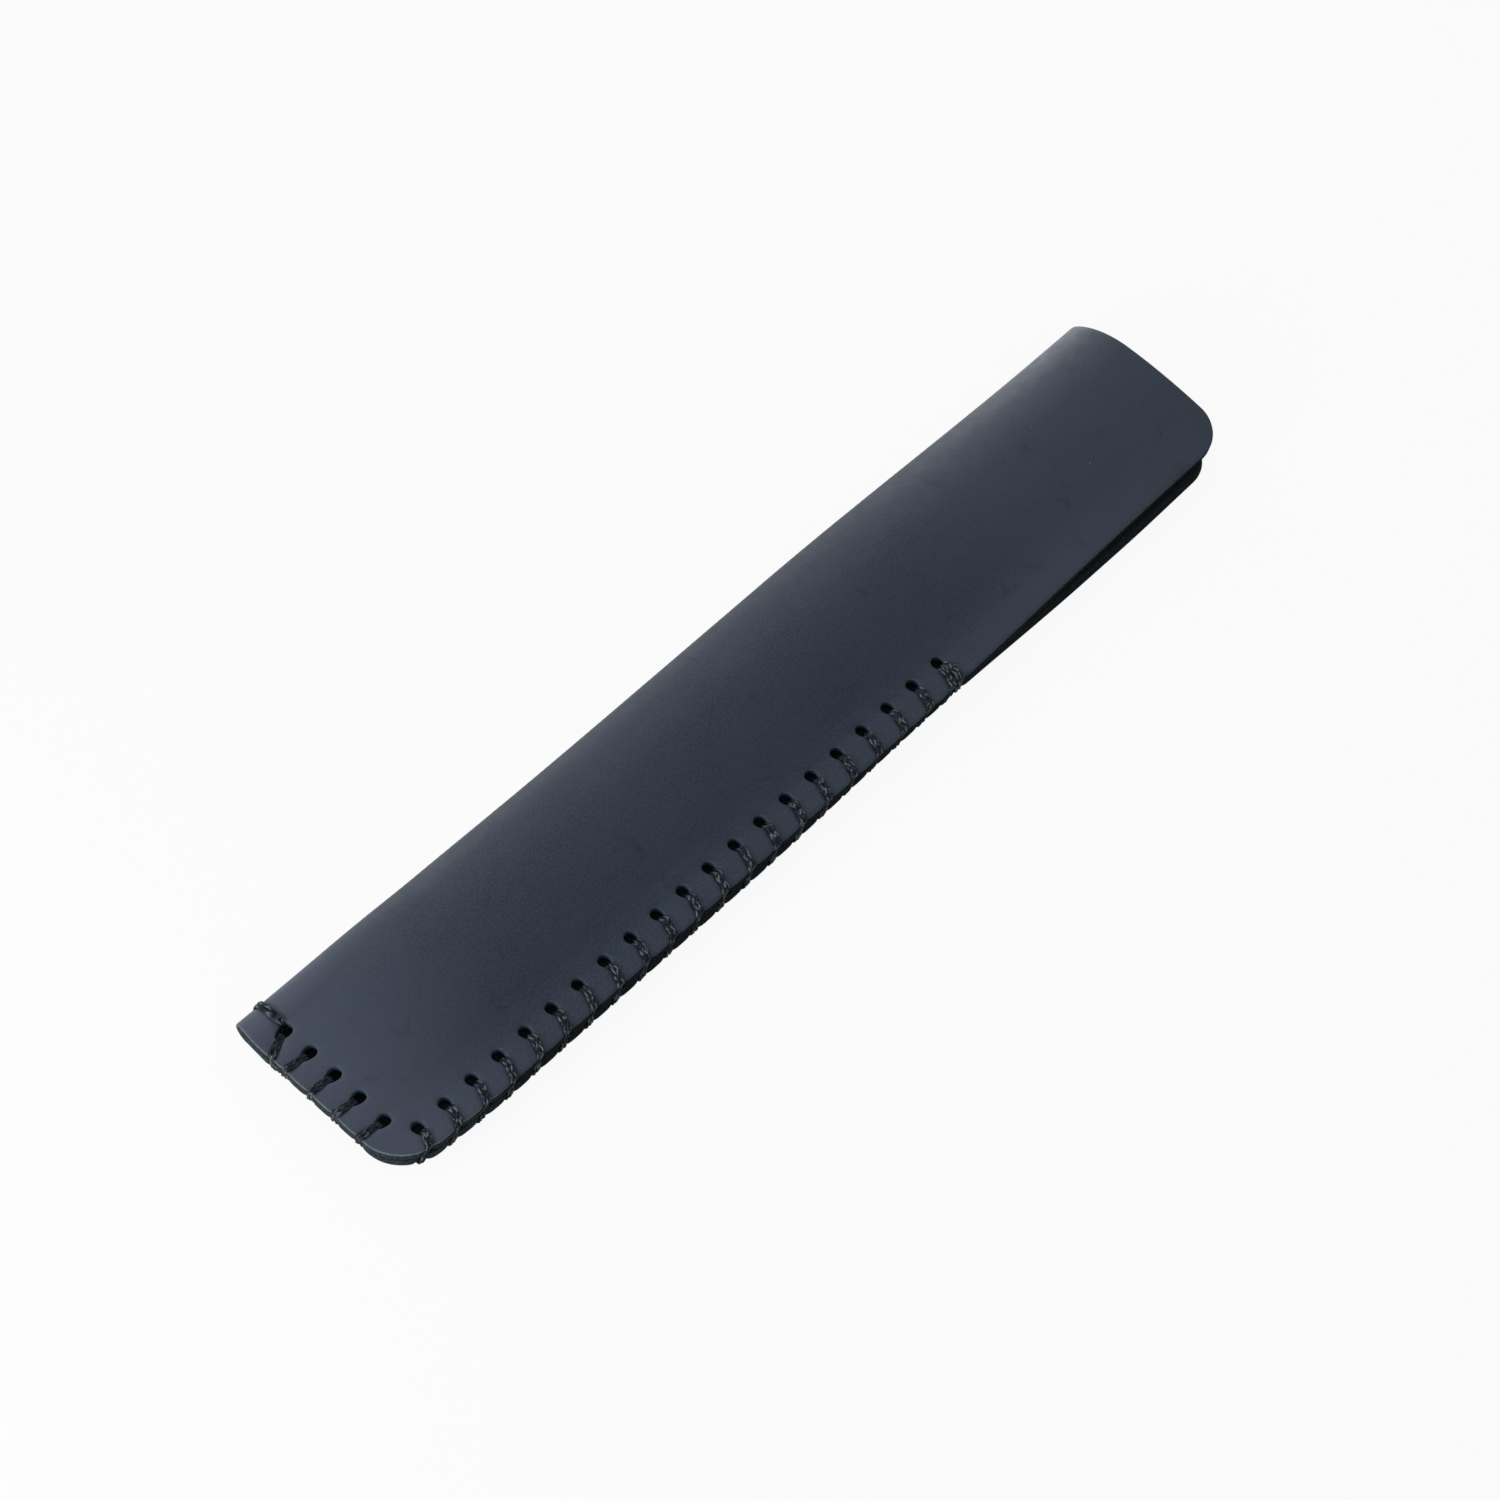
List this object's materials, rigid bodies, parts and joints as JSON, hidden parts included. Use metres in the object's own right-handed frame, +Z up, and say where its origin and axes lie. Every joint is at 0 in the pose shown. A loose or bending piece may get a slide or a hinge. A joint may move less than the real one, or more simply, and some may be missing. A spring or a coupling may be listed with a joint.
{
  "type": "pen sleeve",
  "caption": "Slim folded leather pen sleeve, whipstitched along its closed end and long side, with an unsewn corner of the front layer that flexes open at the mouth.",
  "frame": {"origin": "on the flat underside of the back layer, at the middle of the leather's length and width", "axes": "+X towards the open mouth, +Y towards the fold, +Z up through the front layer"},
  "size_m": [0.1644, 0.033, 0.0079],
  "materials": {
    "leather": "smooth waxed black leather with a cool grey sheen and raw cut edges",
    "thread": "flat braided waxed thread, black with a soft shine"
  },
  "bodies": {
    "sleeve": {"back_panel": "leather", "fold_spine": "leather", "front_panel": "leather", "whipstitch_thread": "thread"},
    "mouth_flap": {"mouth_flap": "leather"}
  },
  "joints": [
    {"name": "mouth_flap_flex", "type": "hinge", "parent": "sleeve", "child": "mouth_flap", "pos_m": [0.0263, -0.0158, 0.00449], "axis": [-0.9554, -0.2895, -0.0587], "range_deg": [-9, 30], "stiffness_Nm_per_rad": 0.004}
  ]
}
